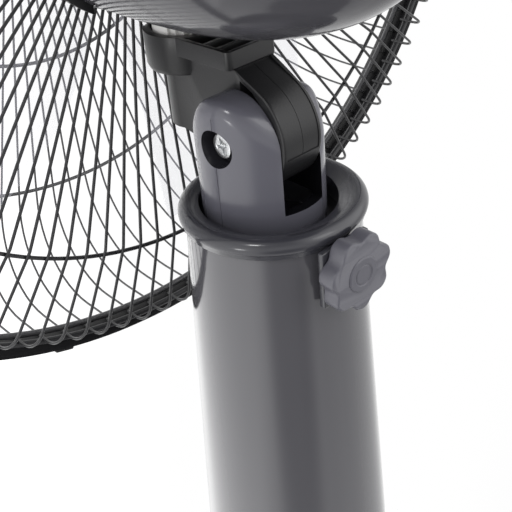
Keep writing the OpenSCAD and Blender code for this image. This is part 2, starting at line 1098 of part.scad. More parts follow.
// One front wire: forward from the rim, round, then in to the hub ring.
fbend = 45;
f_slope = 2.9;
fline = front_y - wire_r * tan(f_slope);
fset = fbend * tan((90 - f_slope) / 2);
fc = [wire_r - fbend, fline - fset];
f_in = [fc[0] + fbend * sin(f_slope), fc[1] + fbend * cos(f_slope)];
front_len = (f_in[0] - 41.2) / cos(f_slope);

module front_wire() {
  rotate([90, 0, 0]) {
    translate([wire_r, rim_y + 5, 0])
      rotate([-90, 0, 0])
        cylinder(r = fw, h = fc[1] - rim_y - 5 - join_gap, $fn = 8);
    translate([wire_r, fc[1], 0])
      rotate([-90, 0, 0])
        joint(fw);
    translate([fc[0], fc[1], 0])
      rotate([0, 0, join_gap])
        rotate_extrude(angle = 90 - f_slope - 2 * join_gap)
          translate([fbend, 0])
            circle(r = fw, $fn = 8);
    translate([f_in[0], f_in[1], 0])
      rotate([0, -90, -f_slope]) {
        translate([0, 0, join_gap])
          cylinder(r = fw, h = front_len - join_gap, $fn = 8);
        joint(fw);
      }
  }
}

module front_guard_wires() {
  color([0.35, 0.35, 0.36])
  at_axis()
    for (i = [0:wire_count - 1])
      rotate(i * 360 / wire_count)
        front_wire();
}

function front_at(r) = f_in[1] + (f_in[0] - r) * tan(f_slope);

module front_guard_rings() {
  color([0.35, 0.35, 0.36])
  at_axis() {
    for (r = [front_out, front_mid])
      ring(r, front_at(r) - (fw + mid_r + 0.03) / cos(f_slope), mid_r);
    ring(wire_r - fw - ring_r - 0.05, rim_y + 7.5, ring_r);
    difference() {
      translate([0, 0, front_at(41) - 1.2])
        cylinder(r = 41, h = 2.4);
      translate([0, 0, front_at(41) - 4])
        cylinder(r = 30, h = 9);
    }
  }
}

// Stepped rim band that holds the rims of both halves.
module guard_band() {
  r = rim_r - band_step;
  color([0.05, 0.05, 0.055])
  at_axis()
    translate([0, 0, rim_y])
      rotate_extrude()
        polygon([
          [rim_r - band_t, -2.5], [r - 0.5, -2.5], [r, -2], [r, 3.5], [rim_r - 0.8, 3.5], [rim_r, 4.5],
          [rim_r, 16.5], [rim_r - 0.8, 17.5], [rim_r - band_t, 17.5]
        ]);
}

module guard_clips() {
  color([0.05, 0.05, 0.055])
  at_axis()
    for (i = [0:3])
      rotate(i * 90 - 73.5)
        translate([rim_r + 0.05, -5, rim_y + 6])
          cube([2.4, 10, 8]);
}

module guard_nut() {
  color([0.06, 0.06, 0.065])
  at_axis()
    translate([0, 0, hub_a + 1.5])
      difference() {
        union() {
          tube(50, 38.15, 3);
          tube(45, 38.15, 10);
        }
        for (i = [0:11])
          rotate(i * 30)
            translate([46.5, 0, 4])
              cylinder(r = 3, h = 12);
      }
}

module guard_badge() {
  color([0.4, 0.4, 0.43])
  at_axis()
    translate([0, 0, front_at(41) + 1.25])
      rotate_extrude()
        polygon([[0, 0], [40, 0], [40, 1.5], [36, 3.6], [20, 5], [0, 5.4]]);
}

// Blade

hub_b = 84;
hub_len = 36;
hub_rad = 32;
leaf_n = 7;
leaf_m = 5;

// Chord angle, width and sweep of a leaf at radius fraction s and chord fraction c.
function leaf_r(s) = hub_rad - 1.5 + (blade_d / 2 - hub_rad + 1.5) * s;
function leaf_half(s) = 0.5 * (46 + 50 * sin(90 * pow(s, 0.8)) - 26 * pow(s, 6));
function leaf_sweep(s) = 16 * s * s;
function leaf_lift(s, c) = (c * (34 - 16 * s) * 0.5) + 3 * (1 - c * c);
function leaf_pt(s, c, o) =
  let (r = leaf_r(s), a = leaf_sweep(s) + c * leaf_half(s) * 180 / PI / (r * 0.8 + 22))
  [r * cos(a), r * sin(a), hub_b + 18 + leaf_lift(s, c) + o];

leaf_grid = [for (o = [-1, 1]) for (i = [0:leaf_n]) for (j = [0:leaf_m])
  leaf_pt(i / leaf_n, 2 * j / leaf_m - 1, o * leaf_t / 2)];
row = leaf_m + 1;
lay = (leaf_n + 1) * row;
leaf_faces = concat(
  [for (i = [0:leaf_n - 1]) for (j = [0:leaf_m - 1])
    [i * row + j, i * row + j + 1, (i + 1) * row + j + 1, (i + 1) * row + j]],
  [for (i = [0:leaf_n - 1]) for (j = [0:leaf_m - 1])
    [lay + i * row + j, lay + (i + 1) * row + j, lay + (i + 1) * row + j + 1, lay + i * row + j + 1]],
  [for (i = [0:leaf_n - 1]) [i * row, (i + 1) * row, lay + (i + 1) * row, lay + i * row]],
  [for (i = [0:leaf_n - 1])
    [i * row + leaf_m, lay + i * row + leaf_m, lay + (i + 1) * row + leaf_m, (i + 1) * row + leaf_m]],
  [for (j = [0:leaf_m - 1]) [j, lay + j, lay + j + 1, j + 1]],
  [for (j = [0:leaf_m - 1])
    [leaf_n * row + j, leaf_n * row + j + 1, lay + leaf_n * row + j + 1, lay + leaf_n * row + j]]
);

function tri(f) = [[f[2], f[1], f[0]], [f[3], f[2], f[0]]];

module leaf() {
  polyhedron(points = leaf_grid, faces = [for (f = leaf_faces) each tri(f)], convexity = 6);
}

module blade() {
  color([0.85, 0.85, 0.92, 0.45])
  at_axis() {
    translate([0, 0, hub_b])
      rotate_extrude()
        polygon([
          [shaft_d / 2 + 0.03, 10], [9, 10], [9, hub_len - 4], [hub_rad - 3, hub_len - 4],
          [hub_rad - 3, 0], [hub_rad, 0], [hub_rad, hub_len - 3], [hub_rad - 3, hub_len],
          [shaft_d / 2 + 0.03, hub_len]
        ]);
    for (i = [0:blade_count - 1])
      rotate(i * 360 / blade_count + 20)
        leaf();
  }
}

module blade_nut() {
  color([0.3, 0.3, 0.32])
  at_axis()
    translate([0, 0, hub_b + hub_len + 0.1])
      difference() {
        union() {
          cylinder(r = 15, h = 3);
          cylinder(r = 11, h = 12);
        }
        translate([0, 0, -1])
          cylinder(r = shaft_d / 2 + 0.03, h = 8);
      }
}

base_cover();
base_weight();
base_plate();
base_feet();
base_screws();
column_flange();
flange_screws();
guide_tube();
column();
collar();
collar_bush();
clamp_nut();
control_panel();
key_switch();
timer_body();
cord_gland();
key_off();
key_low();
key_medium();
key_high();
key_swing();
timer_knob();
clamp_knob();
clamp_screw();
clamp_shoe();
pole();
pole_foot();
neck();
pivot_bolt();
pivot_nut();
tilt_bracket();
spindle_bush();
thrust_washer();
swing_gear();
spindle();
spindle_screw();
motor_frame();
motor_bell();
stator();
windings();
bearings();
motor_screws();
swing_motor();
swing_pinion();
front_cover();
rear_cover();
cover_screws();
rear_guard_wires();
rear_guard_rings();
front_guard_wires();
front_guard_rings();
guard_band();
guard_clips();
guard_nut();
guard_badge();
rotor();
shaft();
blade();
blade_nut();
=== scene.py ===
"""Finished pedestal fan: rounded mouldings, wire guard, clear blade, finishes, floor, light and camera."""

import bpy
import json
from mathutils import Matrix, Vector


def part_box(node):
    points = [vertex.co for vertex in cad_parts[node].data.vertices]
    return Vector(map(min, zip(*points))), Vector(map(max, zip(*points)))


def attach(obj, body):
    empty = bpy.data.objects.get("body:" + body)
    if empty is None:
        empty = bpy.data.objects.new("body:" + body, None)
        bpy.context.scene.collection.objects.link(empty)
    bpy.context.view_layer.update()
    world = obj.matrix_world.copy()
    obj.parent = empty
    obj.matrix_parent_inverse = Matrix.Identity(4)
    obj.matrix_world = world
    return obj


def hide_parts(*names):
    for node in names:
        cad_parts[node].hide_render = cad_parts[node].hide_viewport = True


bl_info = {
    "name": "Pedestal fan",
    "version": (1, 0, 0),
    "blender": (4, 5, 0),
    "location": "View3D > Sidebar > Fan",
    "description": "Models and finishes the pieces of a pedestal fan on its packed frame",
    "category": "Object",
}

import json
import math

import bpy
from mathutils import Matrix, Vector

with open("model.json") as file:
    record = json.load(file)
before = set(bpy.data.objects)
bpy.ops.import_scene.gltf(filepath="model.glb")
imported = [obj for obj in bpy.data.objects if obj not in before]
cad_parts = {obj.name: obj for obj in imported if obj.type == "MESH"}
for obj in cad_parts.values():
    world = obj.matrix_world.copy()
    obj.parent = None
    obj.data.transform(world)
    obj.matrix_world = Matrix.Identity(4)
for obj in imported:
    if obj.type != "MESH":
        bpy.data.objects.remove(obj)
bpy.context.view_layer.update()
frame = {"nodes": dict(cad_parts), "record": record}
NODES = frame["nodes"]
BODY = {n: b for b, ns in frame["record"]["behaviour"]["bodies"].items() for n in ns}
SLOT = {s["node"]: s["material_slot"] for s in frame["record"]["subparts"]}
MM = 0.001
QUARTER = math.radians(90)

# Sizes and places that several pieces share. Heights named UP are above the collar's lower edge.
POLE_Y = -5 * MM
POLE_R = 25.85 * MM
POLE_BORE = 21.35 * MM
PIVOT_Y = -2 * MM
PIVOT_UP = 37.4 * MM
PIVOT_BORE = 3.05 * MM
EAR_R = 18.9 * MM
NUT_EAR_R = 11.5 * MM
EAR_ROUND = 5.0 * MM
NECK_FOOT_UP = -8 * MM
SLOT_HALF = 10.3 * MM
SLOT_UP = 9 * MM
RECESS_R = 7.8 * MM
TONGUE_HALF = 10 * MM
TONGUE_R = 22.5 * MM
CLAMP_UP = -10 * MM
CLAMP_BORE = 3.6 * MM
WALL = 2.5 * MM

# Broad mottling of every finish
MOTTLE_SCALE = 18.0

# Directions in which the room is brighter or darker: direction, cosines where it starts and is full, amount
GLOWS = (
    ((0.735, -0.673, 0.0), 0.13, 0.53, 0.7),
    ((-0.6, 0.62, 0.5), 0.6, 0.95, 1.3),
    ((-0.66, 0.6, -0.45), 0.45, 0.85, -0.25),
    ((0.0, 0.0, 1.0), 0.15, 0.8, -0.5),
    ((0.449, 0.716, -0.52), 0.87, 0.975, -0.7),
)

# Lamps: name, place, watts, width
LAMPS = (
    ("left", (1.45, 0.46, 2.53), 8.0, 0.35),
    ("low", (2.35, 0.36, 0.39), 5.0, 0.35),
    ("right", (-0.68, 1.88, 2.0), 4.0, 0.9),
    ("front", (0.4, -2.2, 1.8), 3.0, 1.2),
)
LAMP_AIM = Vector((0, 0, 0.65))

FLOOR_R = 0.42
FLOOR_DROP = 0.5 * MM

# Camera: its own right and up, and its place, with the height above the collar's lower edge
CAMERA_RIGHT = Vector((-0.73529, 0.67315, -0.07885))
CAMERA_UP = Vector((-0.41688, -0.35746, 0.83572))
CAMERA_AT = (0.22338, 0.25651, 0.19845)
SENSOR = 36.0
# Focal length as a share of the picture's width
FOCAL = 950.0 / 512.0


class FanSizes(bpy.types.PropertyGroup):
    """Sizes that shape the new pieces, in metres."""

    collar_height: bpy.props.FloatProperty(
        name="Collar height", description="Height of the collar's lower edge above the floor",
        default=0.640, min=0.5, max=0.8, unit="LENGTH")
    axis_height: bpy.props.FloatProperty(
        name="Axis height", description="Height of the fan's axis above the floor",
        default=0.7765, min=0.6, max=1.0, unit="LENGTH")
    column_radius: bpy.props.FloatProperty(
        name="Column radius", description="Column radius under the collar",
        default=0.0365, min=0.03, max=0.05, unit="LENGTH")
    column_taper: bpy.props.FloatProperty(
        name="Column taper", description="Growth of the column's radius for each metre downwards",
        default=0.047, min=0.0, max=0.06)
    cover_radius: bpy.props.FloatProperty(
        name="Cover radius", description="Largest radius of the motor cover",
        default=0.0615, min=0.05, max=0.07, unit="LENGTH")
    rear_wire: bpy.props.FloatProperty(
        name="Rear wire", description="Radius of a rear guard wire",
        default=0.0007, min=0.0005, max=0.0015, unit="LENGTH")
    front_wire: bpy.props.FloatProperty(
        name="Front wire", description="Radius of a front guard wire",
        default=0.00055, min=0.0004, max=0.0015, unit="LENGTH")
    wires: bpy.props.IntProperty(
        name="Wires", description="Wires in each half of the guard", default=108, min=60, max=160)
    knob_radius: bpy.props.FloatProperty(
        name="Knob radius", description="Radius of the clamp knob over its lobes",
        default=0.0168, min=0.012, max=0.02, unit="LENGTH")
    lobes: bpy.props.IntProperty(
        name="Lobes", description="Lobes on the clamp knob", default=7, min=4, max=10)


class FanColours(bpy.types.PropertyGroup):
    """Base colours of the finishes, linear."""

    column: bpy.props.FloatVectorProperty(
        name="Column", description="Gloss grey of the column and base",
        default=(0.062, 0.061, 0.069), size=3, subtype="COLOR", min=0, max=1)
    knob: bpy.props.FloatVectorProperty(
        name="Knob", description="Satin blue-grey of the knobs",
        default=(0.083, 0.082, 0.099), size=3, subtype="COLOR", min=0, max=1)
    neck: bpy.props.FloatVectorProperty(
        name="Neck", description="Smooth blue-grey of the neck",
        default=(0.090, 0.089, 0.108), size=3, subtype="COLOR", min=0, max=1)
    cover: bpy.props.FloatVectorProperty(
        name="Cover", description="Gloss grey of the motor cover",
        default=(0.056, 0.055, 0.062), size=3, subtype="COLOR", min=0, max=1)
    black: bpy.props.FloatVectorProperty(
        name="Black moulding", description="Black of the bracket, clips and nut",
        default=(0.012, 0.012, 0.013), size=3, subtype="COLOR", min=0, max=1)
    wire: bpy.props.FloatVectorProperty(
        name="Rear wire", description="Black coating of the rear guard",
        default=(0.020, 0.020, 0.022), size=3, subtype="COLOR", min=0, max=1)
    front_wire: bpy.props.FloatVectorProperty(
        name="Front wire", description="Coating of the front guard",
        default=(0.09, 0.09, 0.094), size=3, subtype="COLOR", min=0, max=1)
    blade: bpy.props.FloatVectorProperty(
        name="Blade", description="Tint of the clear blade",
        default=(0.86, 0.86, 0.95), size=3, subtype="COLOR", min=0, max=1)
    nylon: bpy.props.FloatVectorProperty(
        name="Nylon", description="Natural nylon",
        default=(0.84, 0.83, 0.81), size=3, subtype="COLOR", min=0, max=1)
    steel: bpy.props.FloatVectorProperty(
        name="Steel", description="Zinc-plated steel",
        default=(0.66, 0.67, 0.68), size=3, subtype="COLOR", min=0, max=1)
    floor: bpy.props.FloatVectorProperty(
        name="Floor", description="Pale studio floor",
        default=(0.92, 0.92, 0.92), size=3, subtype="COLOR", min=0, max=1)


def sizes():
    return bpy.context.scene.fan_sizes


def colours():
    return bpy.context.scene.fan_colours


# Finishes

def grained(name, colour, rough, grain=900.0, depth=0.04, mottle=0.05, rough_span=0.05, metallic=0.0,
            coat=0.0, coat_rough=0.05, stretch=(1.0, 1.0, 1.0), specular=0.5):
    """A finish with fine surface grain, faint mottling and uneven gloss on object coordinates."""
    mat = bpy.data.materials.get(name)
    if mat:
        return mat
    mat = bpy.data.materials.new(name)
    mat.use_nodes = True
    tree = mat.node_tree
    shader = tree.nodes["Principled BSDF"]
    shader.inputs["Metallic"].default_value = metallic
    shader.inputs["Specular IOR Level"].default_value = specular
    shader.inputs["Coat Weight"].default_value = coat
    shader.inputs["Coat Roughness"].default_value = coat_rough
    place = tree.nodes.new("ShaderNodeTexCoord")
    mapping = tree.nodes.new("ShaderNodeMapping")
    mapping.inputs["Scale"].default_value = stretch
    tree.links.new(place.outputs["Object"], mapping.inputs["Vector"])
    fine = tree.nodes.new("ShaderNodeTexNoise")
    fine.inputs["Scale"].default_value = grain
    fine.inputs["Detail"].default_value = 3.0
    tree.links.new(mapping.outputs["Vector"], fine.inputs["Vector"])
    broad = tree.nodes.new("ShaderNodeTexNoise")
    broad.inputs["Scale"].default_value = MOTTLE_SCALE
    broad.inputs["Detail"].default_value = 4.0
    tree.links.new(mapping.outputs["Vector"], broad.inputs["Vector"])
    tone = tree.nodes.new("ShaderNodeMix")
    tone.data_type = "RGBA"
    tone.inputs[6].default_value = [c * (1.0 - mottle) for c in colour] + [1.0]
    tone.inputs[7].default_value = [min(c * (1.0 + mottle), 1.0) for c in colour] + [1.0]
    tree.links.new(broad.outputs["Fac"], tone.inputs[0])
    tree.links.new(tone.outputs[2], shader.inputs["Base Color"])
    gloss = tree.nodes.new("ShaderNodeMapRange")
    gloss.inputs["To Min"].default_value = max(rough - rough_span, 0.02)
    gloss.inputs["To Max"].default_value = min(rough + rough_span, 1.0)
    tree.links.new(broad.outputs["Fac"], gloss.inputs["Value"])
    tree.links.new(gloss.outputs["Result"], shader.inputs["Roughness"])
    bump = tree.nodes.new("ShaderNodeBump")
    bump.inputs["Strength"].default_value = depth
    bump.inputs["Distance"].default_value = MM
    tree.links.new(fine.outputs["Fac"], bump.inputs["Height"])
    tree.links.new(bump.outputs["Normal"], shader.inputs["Normal"])
    return mat


def clear_plastic():
    """Clear tinted moulding of the blade, with faint flow marks."""
    mat = grained("clear_blade_plastic", colours().blade, 0.08, grain=300.0, depth=0.02, mottle=0.03,
                  rough_span=0.03)
    mat.node_tree.nodes["Principled BSDF"].inputs["Alpha"].default_value = 0.13
    return mat


def worked(tree, kind, operation, *values):
    """A Math or Vector Math node fed with sockets and constants; returns its node."""
    node = tree.nodes.new(kind)
    node.operation = operation
    for socket, value in zip(node.inputs, values):
        if isinstance(value, bpy.types.NodeSocket):
            tree.links.new(value, socket)
        else:
            socket.default_value = value
    return node


def neck_plastic_with_painted_shade():
    """Smooth moulding of the neck, with painted shade: near-black colour and low shine between the ears and round the
    screw.
    """
    mat = grained("neck_moulding_painted_shade", colours().neck, 0.2, grain=500.0, depth=0.015, mottle=0.04)
    tree = mat.node_tree
    shader = tree.nodes["Principled BSDF"]
    zc = sizes().collar_height
    place = tree.nodes["Texture Coordinate"].outputs["Object"]
    axes = tree.nodes.new("ShaderNodeSeparateXYZ")
    tree.links.new(place, axes.inputs["Vector"])
    # Painted shade between the ears and in the screw's recess: masks that turn the colour near-black and the shine
    # low. The masks reach a hair beyond the cut faces, so that those lie inside them.
    hair = 0.04 * MM
    between = worked(tree, "ShaderNodeMath", "COMPARE", axes.outputs["X"], 0.0, SLOT_HALF + hair)
    above = worked(tree, "ShaderNodeMath", "GREATER_THAN", axes.outputs["Z"], zc + SLOT_UP - 0.1 * MM)
    slot = worked(tree, "ShaderNodeMath", "MULTIPLY", between.outputs["Value"], above.outputs["Value"])
    spread = worked(tree, "ShaderNodeVectorMath", "MULTIPLY_ADD", place, (0.0, 1.0, 1.0),
                    (0.0, -PIVOT_Y, -PIVOT_UP - zc))
    reach = worked(tree, "ShaderNodeVectorMath", "LENGTH", spread.outputs["Vector"])
    # Painted shade in the screw's recess, at eight tenths of full strength.
    recess = tree.nodes.new("ShaderNodeMapRange")
    recess.inputs["From Min"].default_value = RECESS_R + hair / 2
    recess.inputs["From Max"].default_value = RECESS_R + 1.5 * hair
    recess.inputs["To Min"].default_value = 0.8
    recess.inputs["To Max"].default_value = 0.0
    tree.links.new(reach.outputs["Value"], recess.inputs["Value"])
    # The painted shade: the stronger of the slot mask and the recess mask.
    painted_shade = worked(tree, "ShaderNodeMath", "MAXIMUM", slot.outputs["Value"], recess.outputs["Result"])
    tone = tree.nodes.new("ShaderNodeMix")
    tone.data_type = "RGBA"
    # Near-black colour of the painted shade.
    tone.inputs[7].default_value = (0.004, 0.004, 0.005, 1.0)
    tree.links.new(painted_shade.outputs["Value"], tone.inputs[0])
    tree.links.new(shader.inputs["Base Color"].links[0].from_socket, tone.inputs[6])
    tree.links.new(tone.outputs[2], shader.inputs["Base Color"])
    # Low shine where the shade is painted.
    shine = tree.nodes.new("ShaderNodeMapRange")
    shine.inputs["To Min"].default_value = 0.5
    shine.inputs["To Max"].default_value = 0.05
    tree.links.new(painted_shade.outputs["Value"], shine.inputs["Value"])
    tree.links.new(shine.outputs["Result"], shader.inputs["Specular IOR Level"])
    return mat


def finish_for(slot):
    """The finish of one material slot of the record."""
    c = colours()
    table = {
        "gloss_grey": lambda: grained("column_gloss", c.column, 0.14, grain=260.0, depth=0.008, mottle=0.03,
                                      rough_span=0.03, coat=0.5, coat_rough=0.03),
        "cover_grey": lambda: grained("cover_gloss", c.cover, 0.12, grain=300.0, depth=0.008, mottle=0.03,
                                      rough_span=0.03, specular=0.22),
        "neck_grey": lambda: grained("knob_satin", c.knob, 0.36, grain=1500.0, depth=0.05, mottle=0.04),
        "black_plastic": lambda: grained("black_moulding", c.black, 0.32, grain=1200.0, depth=0.05, mottle=0.12,
                                         specular=0.35),
        "key_grey": lambda: grained("key_satin", (0.30, 0.30, 0.32), 0.42, grain=1500.0, depth=0.05),
        "nylon": lambda: grained("natural_nylon", c.nylon, 0.45, grain=800.0, depth=0.05, mottle=0.06),
        "rubber": lambda: grained("black_rubber", (0.014, 0.014, 0.014), 0.75, grain=700.0, depth=0.2, mottle=0.2),
        "cast_weight": lambda: grained("rough_casting", (0.10, 0.10, 0.105), 0.7, grain=220.0, depth=0.5, mottle=0.25),
        "steel": lambda: grained("zinc_steel", c.steel, 0.32, grain=1400.0, depth=0.08, mottle=0.1, metallic=1.0,
                                 rough_span=0.08),
        "painted_steel": lambda: grained("black_wire_coat", c.wire, 0.3, grain=1600.0, depth=0.05, mottle=0.15,
                                         specular=0.45),
        "painted_steel_grey": lambda: grained("grey_wire_coat", c.front_wire, 0.32, grain=1600.0, depth=0.05,
                                              mottle=0.12),
        "pole_paint": lambda: grained("pole_coat", (0.20, 0.20, 0.22), 0.3, grain=900.0, depth=0.04),
        "aluminium": lambda: grained("die_cast_alloy", (0.60, 0.60, 0.60), 0.45, grain=500.0, depth=0.2, mottle=0.12,
                                     metallic=1.0),
        "laminations": lambda: grained("stacked_sheet", (0.36, 0.36, 0.37), 0.42, grain=300.0, depth=0.3,
                                       metallic=1.0, stretch=(1.0, 12.0, 1.0)),
        "copper": lambda: grained("enamelled_wire", (0.55, 0.20, 0.07), 0.34, grain=260.0, depth=0.5, metallic=1.0,
                                  stretch=(1.0, 8.0, 1.0)),
        "bronze": lambda: grained("bearing_bronze", (0.55, 0.36, 0.16), 0.42, grain=900.0, depth=0.12, metallic=1.0),
        "clear_blade": clear_plastic,
    }
    return table[slot]()


# Modelling helpers

def only(obj):
    """Selects one object alone and makes it active."""
    if bpy.context.object and bpy.context.object.mode != "OBJECT":
        bpy.ops.object.mode_set(mode="OBJECT")
    bpy.ops.object.select_all(action="DESELECT")
    obj.select_set(True)
    bpy.context.view_layer.objects.active = obj


def none():
    """Leaves nothing selected, so that a new primitive stands alone."""
    if bpy.context.object and bpy.context.object.mode != "OBJECT":
        bpy.ops.object.mode_set(mode="OBJECT")
    bpy.ops.object.select_all(action="DESELECT")


def into_edit(kind="VERT"):
    """Goes into edit mode with one kind of selection."""
    bpy.ops.object.mode_set(mode="EDIT")
    bpy.ops.mesh.select_mode(type=kind)


def pick(obj, kind, test):
    """Selects the edges or faces that pass a test, and stays in edit mode."""
    into_edit(kind)
    bpy.ops.mesh.select_all(action="DESELECT")
    bpy.ops.object.mode_set(mode="OBJECT")
    for p in {"EDGE": obj.data.edges, "FACE": obj.data.polygons}[kind]:
        p.select = bool(test(p))
    bpy.ops.object.mode_set(mode="EDIT")


def cleaned():
    """Merges doubles, removes loose ends, turns the faces outwards and leaves edit mode."""
    bpy.ops.mesh.select_all(action="SELECT")
    bpy.ops.mesh.remove_doubles(threshold=1e-6)
    bpy.ops.mesh.delete_loose()
    bpy.ops.mesh.select_all(action="SELECT")
    bpy.ops.mesh.normals_make_consistent(inside=False)
    bpy.ops.object.mode_set(mode="OBJECT")


def outline(name, points):
    """A closed ring of edges through the given points, started from a circle."""
    none()
    bpy.ops.mesh.primitive_circle_add(vertices=len(points), radius=0.01, fill_type="NOTHING")
    obj = bpy.context.object
    obj.name = name
    obj.data.name = name
    for v, p in zip(obj.data.vertices, points):
        v.co = p
    return obj


def turned(name, profile, steps=128):
    """A closed profile of (radius, height) spun round Z."""
    obj = outline(name, [(r, 0.0, z) for r, z in profile])
    into_edit()
    bpy.ops.mesh.select_all(action="SELECT")
    bpy.ops.mesh.spin(steps=steps, angle=2.0 * math.pi, center=(0, 0, 0), axis=(0, 0, 1))
    cleaned()
    return obj


def prism(name, points, depth):
    """A closed outline drawn up along Z."""
    obj = outline(name, points)
    into_edit()
    bpy.ops.mesh.select_all(action="SELECT")
    bpy.ops.mesh.edge_face_add()
    bpy.ops.mesh.extrude_region_move(TRANSFORM_OT_translate={"value": (0, 0, depth)})
    cleaned()
    return obj


def laid(obj, location=(0, 0, 0), turn=(0, 0, 0)):
    """Puts an object's place and turn into its mesh."""
    only(obj)
    obj.location = location
    obj.rotation_euler = turn
    bpy.ops.object.transform_apply(location=True, rotation=True, scale=True)
    return obj


def on_axis(obj):
    """Lays local Z forward along the fan's axis."""
    return laid(obj, (0, 0, sizes().axis_height), (QUARTER, 0, 0))


def rounded(obj, width, segments=3, angle=35.0, smooth=40.0):
    """Rounds every edge sharper than an angle and smooths the rest."""
    only(obj)
    mod = obj.modifiers.new("Edges", "BEVEL")
    mod.width = width
    mod.segments = segments
    mod.limit_method = "ANGLE"
    mod.angle_limit = math.radians(angle)
    mod.use_clamp_overlap = True
    bpy.ops.object.modifier_apply(modifier=mod.name)
    bpy.ops.object.shade_smooth_by_angle(angle=math.radians(smooth))
    return obj


def smoothed(obj, angle=40.0):
    """Smooth shading up to an angle."""
    only(obj)
    bpy.ops.object.shade_smooth_by_angle(angle=math.radians(angle))
    return obj


def cut(obj, tool, how="DIFFERENCE"):
    """Cuts one mesh with another and removes the cutter."""
    only(obj)
    mod = obj.modifiers.new("Cut", "BOOLEAN")
    mod.operation = how
    mod.solver = "EXACT"
    mod.object = tool
    bpy.ops.object.modifier_apply(modifier=mod.name)
    bpy.data.objects.remove(tool)
    return obj


def block(lo, hi):
    """A plain block between two corners, for cutting and joining."""
    none()
    lo, hi = Vector(lo), Vector(hi)
    bpy.ops.mesh.primitive_cube_add(size=1.0, location=(lo + hi) / 2)
    obj = bpy.context.object
    obj.scale = hi - lo
    bpy.ops.object.transform_apply(location=True, rotation=True, scale=True)
    return obj


def drum(radius, depth, location, turn=(0, 0, 0), sides=64):
    """A plain drum, for cutting and joining."""
    none()
    bpy.ops.mesh.primitive_cylinder_add(vertices=sides, radius=radius, depth=depth, location=location,
                                        rotation=turn)
    obj = bpy.context.object
    bpy.ops.object.transform_apply(location=True, rotation=True, scale=True)
    return obj


def joined(name, objs):
    """Several meshes as one piece."""
    none()
    for o in objs:
        o.select_set(True)
    bpy.context.view_layer.objects.active = objs[0]
    bpy.ops.object.join()
    obj = bpy.context.object
    obj.name = name
    obj.data.name = name
    return obj


def fitted(obj, *nodes, slot=None, finish=None):
    """The piece stands for these nodes, rides on their body and takes their finish."""
    slot = slot or SLOT[nodes[0]]
    obj.data.materials.clear()
    obj.data.materials.append(finish or finish_for(slot))
    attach(obj, BODY[nodes[0]])
    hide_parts(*nodes)
    return obj


def softened(node, width, segments=2, angle=30.0, bead=None, bead_width=0.0):
    """A merged copy of a solid with its edges rounded, and wider along a bead that a test of points names."""
    data = NODES[node].data.copy()
    obj = bpy.data.objects.new(node + "_form", data)
    bpy.context.scene.collection.objects.link(obj)
    only(obj)
    if data.has_custom_normals:
        bpy.ops.mesh.customdata_custom_splitnormals_clear()
    into_edit()
    bpy.ops.mesh.select_all(action="SELECT")
    bpy.ops.mesh.remove_doubles(threshold=2e-6)
    bpy.ops.mesh.dissolve_limited(angle_limit=math.radians(1.0))
    if bead:
        pick(obj, "EDGE", lambda e: all(bead(data.vertices[i].co) for i in e.vertices)
             and data.vertices[e.vertices[0]].co.x * data.vertices[e.vertices[1]].co.x > 0)
        bpy.ops.mesh.bevel(offset=bead_width, segments=4, affect="EDGES", clamp_overlap=True)
    bpy.ops.object.mode_set(mode="OBJECT")
    return rounded(obj, width, segments, angle)


# Stand

class FAN_OT_base(bpy.types.Operator):
    """Base cover, control panel, keys, timer knob, feet and gland"""

    bl_idname = "fan.base"
    bl_label = "Base and controls"

    def execute(self, context):
        fitted(softened("base_cover", 1.6 * MM, 3), "base_cover")
        fitted(softened("control_panel", 0.5 * MM), "control_panel")
        for key in ("key_off", "key_low", "key_medium", "key_high", "key_swing"):
            fitted(softened(key, 1.2 * MM, 3), key)
        fitted(softened("timer_knob", 1.0 * MM, 3), "timer_knob")
        fitted(softened("base_feet", 0.5 * MM), "base_feet")
        fitted(softened("cord_gland", 0.5 * MM), "cord_gland")
        return {"FINISHED"}


class FAN_OT_column(bpy.types.Operator):
    """Tapered column shell"""

    bl_idname = "fan.column"
    bl_label = "Column"

    def execute(self, context):
        s = sizes()
        lo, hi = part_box("column")
        z0, z1, zc, r = lo[2], hi[2], s.collar_height, s.column_radius
        edge = 0.6 * MM
        foot = r + s.column_taper * (zc - z0)
        profile = [(foot - WALL, z0), (foot, z0), (r, zc), (r, z1 - edge), (r - edge, z1), (r - WALL, z1),
                   (r - WALL, zc)]
        obj = turned("column_shell", profile, 192)
        cut(obj, drum(CLAMP_BORE, 0.03, (0, r, zc + CLAMP_UP), (QUARTER, 0, 0), 48))
        fitted(smoothed(obj, 30), "column")
        return {"FINISHED"}


